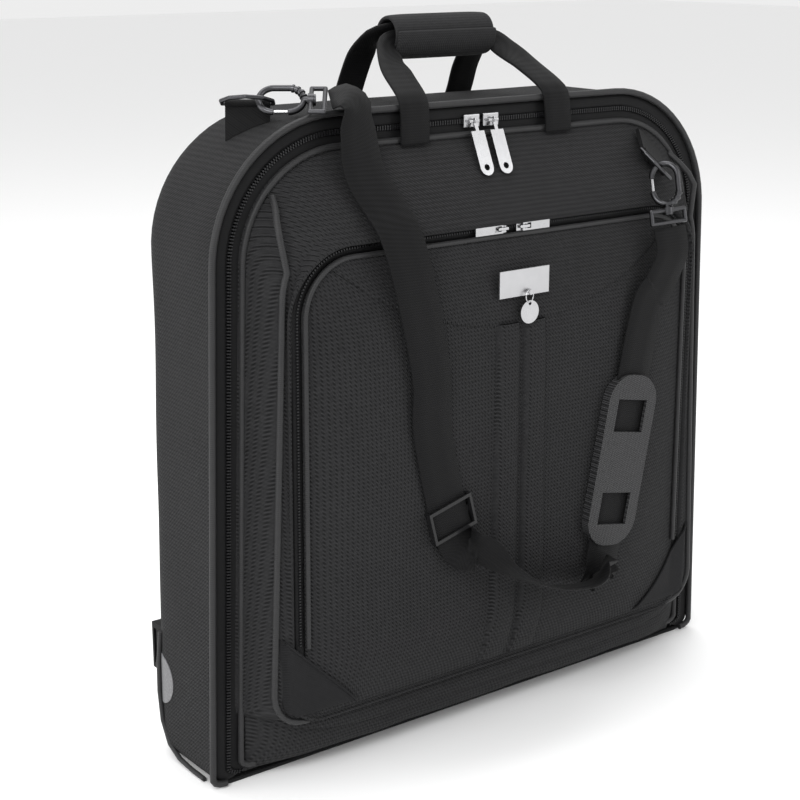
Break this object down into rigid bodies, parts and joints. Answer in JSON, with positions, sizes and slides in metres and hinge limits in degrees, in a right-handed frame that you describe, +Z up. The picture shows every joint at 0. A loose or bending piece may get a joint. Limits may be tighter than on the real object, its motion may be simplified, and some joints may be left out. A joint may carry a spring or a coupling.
{
  "type": "garment bag",
  "caption": "Bi-fold fabric garment bag standing on its fold, with zipped front half, front pocket, carry handles and a clip-on shoulder strap.",
  "frame": {"origin": "on the floor, at the middle of the bag's width, directly below the main zip", "axes": "+Z up, the zipped front faces -Y, +X to the right as seen from behind the zip looking along +Y"},
  "size_m": [0.5748, 0.231, 0.626],
  "materials": {
    "body_fabric": "woven polyester twill",
    "patch_fabric": "fine woven polyester",
    "lining": "smooth polyester lining",
    "board": "polyethylene board and foam",
    "zip_tape": "woven zip tape",
    "zip_teeth": "moulded coil",
    "piping": "satin piping",
    "webbing": "polyester webbing",
    "grip_fabric": "padded wrap",
    "zinc": "polished zinc casting",
    "plate_metal": "satin plate",
    "dark_metal": "black gunmetal",
    "black_plastic": "moulded acetal",
    "pad_rubber": "pebbled rubber",
    "steel": "pressed steel",
    "guard_leather": "grained grey leather"
  },
  "bodies": {
    "back_half": {"rear_gusset": "body_fabric", "back_panel": "body_fabric", "rear_board": "board", "rear_lining": "lining", "rear_zip_tape": "zip_tape", "rear_zip_teeth": "zip_teeth", "outer_piping": "piping", "left_ring_tab": "webbing", "rear_handle_anchors": "webbing", "hanger_bracket": "steel", "hanger_screws": "steel", "garment_strap_left": "webbing", "garment_strap_right": "webbing", "buckle_socket": "black_plastic", "fold_strap_loops": "webbing", "corner_guards": "guard_leather"},
    "front_half": {"front_zip_tape": "zip_tape", "front_zip_teeth": "zip_teeth", "lid_gusset": "body_fabric", "lid_panel": "body_fabric", "lid_foam_board": "board", "bottom_panel": "body_fabric", "inner_piping": "piping", "lid_piping": "piping", "pocket_zip_tape": "zip_tape", "pocket_piping": "piping", "pocket_panel": "body_fabric", "corner_patches": "patch_fabric", "yoke_panel": "body_fabric", "front_ribs": "body_fabric", "nameplate": "plate_metal", "right_ring_tab": "webbing", "front_handle_anchors": "webbing", "shoulder_strap": "webbing", "left_hook_eye": "dark_metal", "right_hook_eye": "dark_metal"},
    "main_slider_left": {"main_slider_left": "zinc"},
    "main_pull_left": {"main_pull_left": "zinc"},
    "main_slider_right": {"main_slider_right": "zinc"},
    "main_pull_right": {"main_pull_right": "zinc"},
    "pocket_slider_left": {"pocket_slider_left": "zinc"},
    "pocket_pull_left": {"pocket_pull_left": "zinc"},
    "pocket_slider_right": {"pocket_slider_right": "zinc"},
    "pocket_pull_right": {"pocket_pull_right": "zinc"},
    "front_handle": {"front_handle": "webbing"},
    "rear_handle": {"rear_handle": "webbing", "grip_wrap": "grip_fabric"},
    "left_d_ring": {"left_d_ring": "dark_metal"},
    "right_d_ring": {"right_d_ring": "dark_metal"},
    "left_hook": {"left_hook": "dark_metal"},
    "left_hook_gate": {"left_hook_gate": "zinc"},
    "right_hook": {"right_hook": "dark_metal"},
    "right_hook_gate": {"right_hook_gate": "zinc"},
    "tri_glide": {"tri_glide": "black_plastic"},
    "shoulder_pad": {"shoulder_pad": "pad_rubber"},
    "tag": {"tag_ring": "zinc", "round_tag": "zinc"},
    "clamp_lever": {"hanger_clamp_lever": "steel"},
    "buckle_plug": {"buckle_plug": "black_plastic"}
  },
  "joints": [
    {"name": "lid_fold", "type": "hinge", "parent": "back_half", "child": "front_half", "pos_m": [0, 0, 0], "axis": [1, 0, 0], "range_deg": [0, 180]},
    {"name": "main_slider_left_run", "type": "slide", "parent": "front_half", "child": "main_slider_left", "axis": [1, 0, 0], "range_m": [-0.035, 0]},
    {"name": "main_slider_right_run", "type": "slide", "parent": "front_half", "child": "main_slider_right", "axis": [1, 0, 0], "range_m": [0, 0.038]},
    {"name": "main_pull_left_swing", "type": "hinge", "parent": "main_slider_left", "child": "main_pull_left", "pos_m": [-0.015, -0.0094, 0.54], "axis": [-1, 0, 0], "range_deg": [0, 130]},
    {"name": "main_pull_right_swing", "type": "hinge", "parent": "main_slider_right", "child": "main_pull_right", "pos_m": [0.006, -0.0094, 0.54], "axis": [-1, 0, 0], "range_deg": [0, 130]},
    {"name": "pocket_slider_left_run", "type": "slide", "parent": "front_half", "child": "pocket_slider_left", "axis": [1, 0, 0], "range_m": [-0.06, 0]},
    {"name": "pocket_slider_right_run", "type": "slide", "parent": "front_half", "child": "pocket_slider_right", "axis": [1, 0, 0], "range_m": [0, 0.06]},
    {"name": "pocket_pull_left_swing", "type": "hinge", "parent": "pocket_slider_left", "child": "pocket_pull_left", "pos_m": [-0.012, -0.0439, 0.453], "axis": [0, 0, 1], "range_deg": [0, 80]},
    {"name": "pocket_pull_right_swing", "type": "hinge", "parent": "pocket_slider_right", "child": "pocket_pull_right", "pos_m": [0.012, -0.0439, 0.453], "axis": [0, 0, -1], "range_deg": [0, 80]},
    {"name": "front_handle_swing", "type": "hinge", "parent": "front_half", "child": "front_handle", "pos_m": [0, -0.0125, 0.519], "axis": [1, 0, 0], "range_deg": [0, 120]},
    {"name": "rear_handle_swing", "type": "hinge", "parent": "back_half", "child": "rear_handle", "pos_m": [0, 0.106, 0.5552], "axis": [-1, 0, 0], "range_deg": [0, 120]},
    {"name": "left_d_ring_swing", "type": "hinge", "parent": "back_half", "child": "left_d_ring", "pos_m": [-0.2034, 0.047, 0.5614], "axis": [0.8, -0.6, 0], "range_deg": [-10, 10]},
    {"name": "right_d_ring_swing", "type": "hinge", "parent": "front_half", "child": "right_d_ring", "pos_m": [0.1735, -0.036, 0.4935], "axis": [0.7915, 0, -0.6112], "range_deg": [0, 10]},
    {"name": "left_hook_swivel", "type": "hinge", "parent": "front_half", "child": "left_hook", "pos_m": [-0.187, 0.023, 0.565], "axis": [0.8, -0.6, 0], "range_deg": [-25, 5]},
    {"name": "right_hook_swivel", "type": "hinge", "parent": "front_half", "child": "right_hook", "pos_m": [0.1682, -0.0567, 0.4764], "axis": [0, -0.1961, -0.9806], "range_deg": [-5, 25]},
    {"name": "left_gate_press", "type": "hinge", "parent": "left_hook", "child": "left_hook_gate", "pos_m": [-0.18774, 0.01302, 0.55646], "axis": [0.4273, 0.5697, -0.7021], "range_deg": [0, 25], "stiffness_Nm_per_rad": 0.02},
    {"name": "right_gate_press", "type": "hinge", "parent": "right_hook", "child": "right_hook_gate", "pos_m": [0.16294, -0.04718, 0.46899], "axis": [0.899, 0.4295, -0.0859], "range_deg": [0, 25], "stiffness_Nm_per_rad": 0.02},
    {"name": "pad_slide", "type": "slide", "parent": "front_half", "child": "shoulder_pad", "axis": [0.1903, 0, 0.9817], "range_m": [-0.005, 0.03]},
    {"name": "tri_glide_slide", "type": "slide", "parent": "front_half", "child": "tri_glide", "axis": [-0.2554, 0, 0.9668], "range_m": [0, 0.06]},
    {"name": "tag_swing", "type": "hinge", "parent": "front_half", "child": "tag", "pos_m": [0.004, -0.062, 0.4], "axis": [0, 1, 0], "range_deg": [-25, 25]},
    {"name": "clamp_lever_swing", "type": "hinge", "parent": "back_half", "child": "clamp_lever", "pos_m": [0, 0.1, 0.468], "axis": [-1, 0, 0], "range_deg": [0, 95]},
    {"name": "buckle_release", "type": "slide", "parent": "back_half", "child": "buckle_plug", "axis": [1, 0, 0], "range_m": [0, 0.022], "deforming": ["garment_strap_right"]}
  ]
}
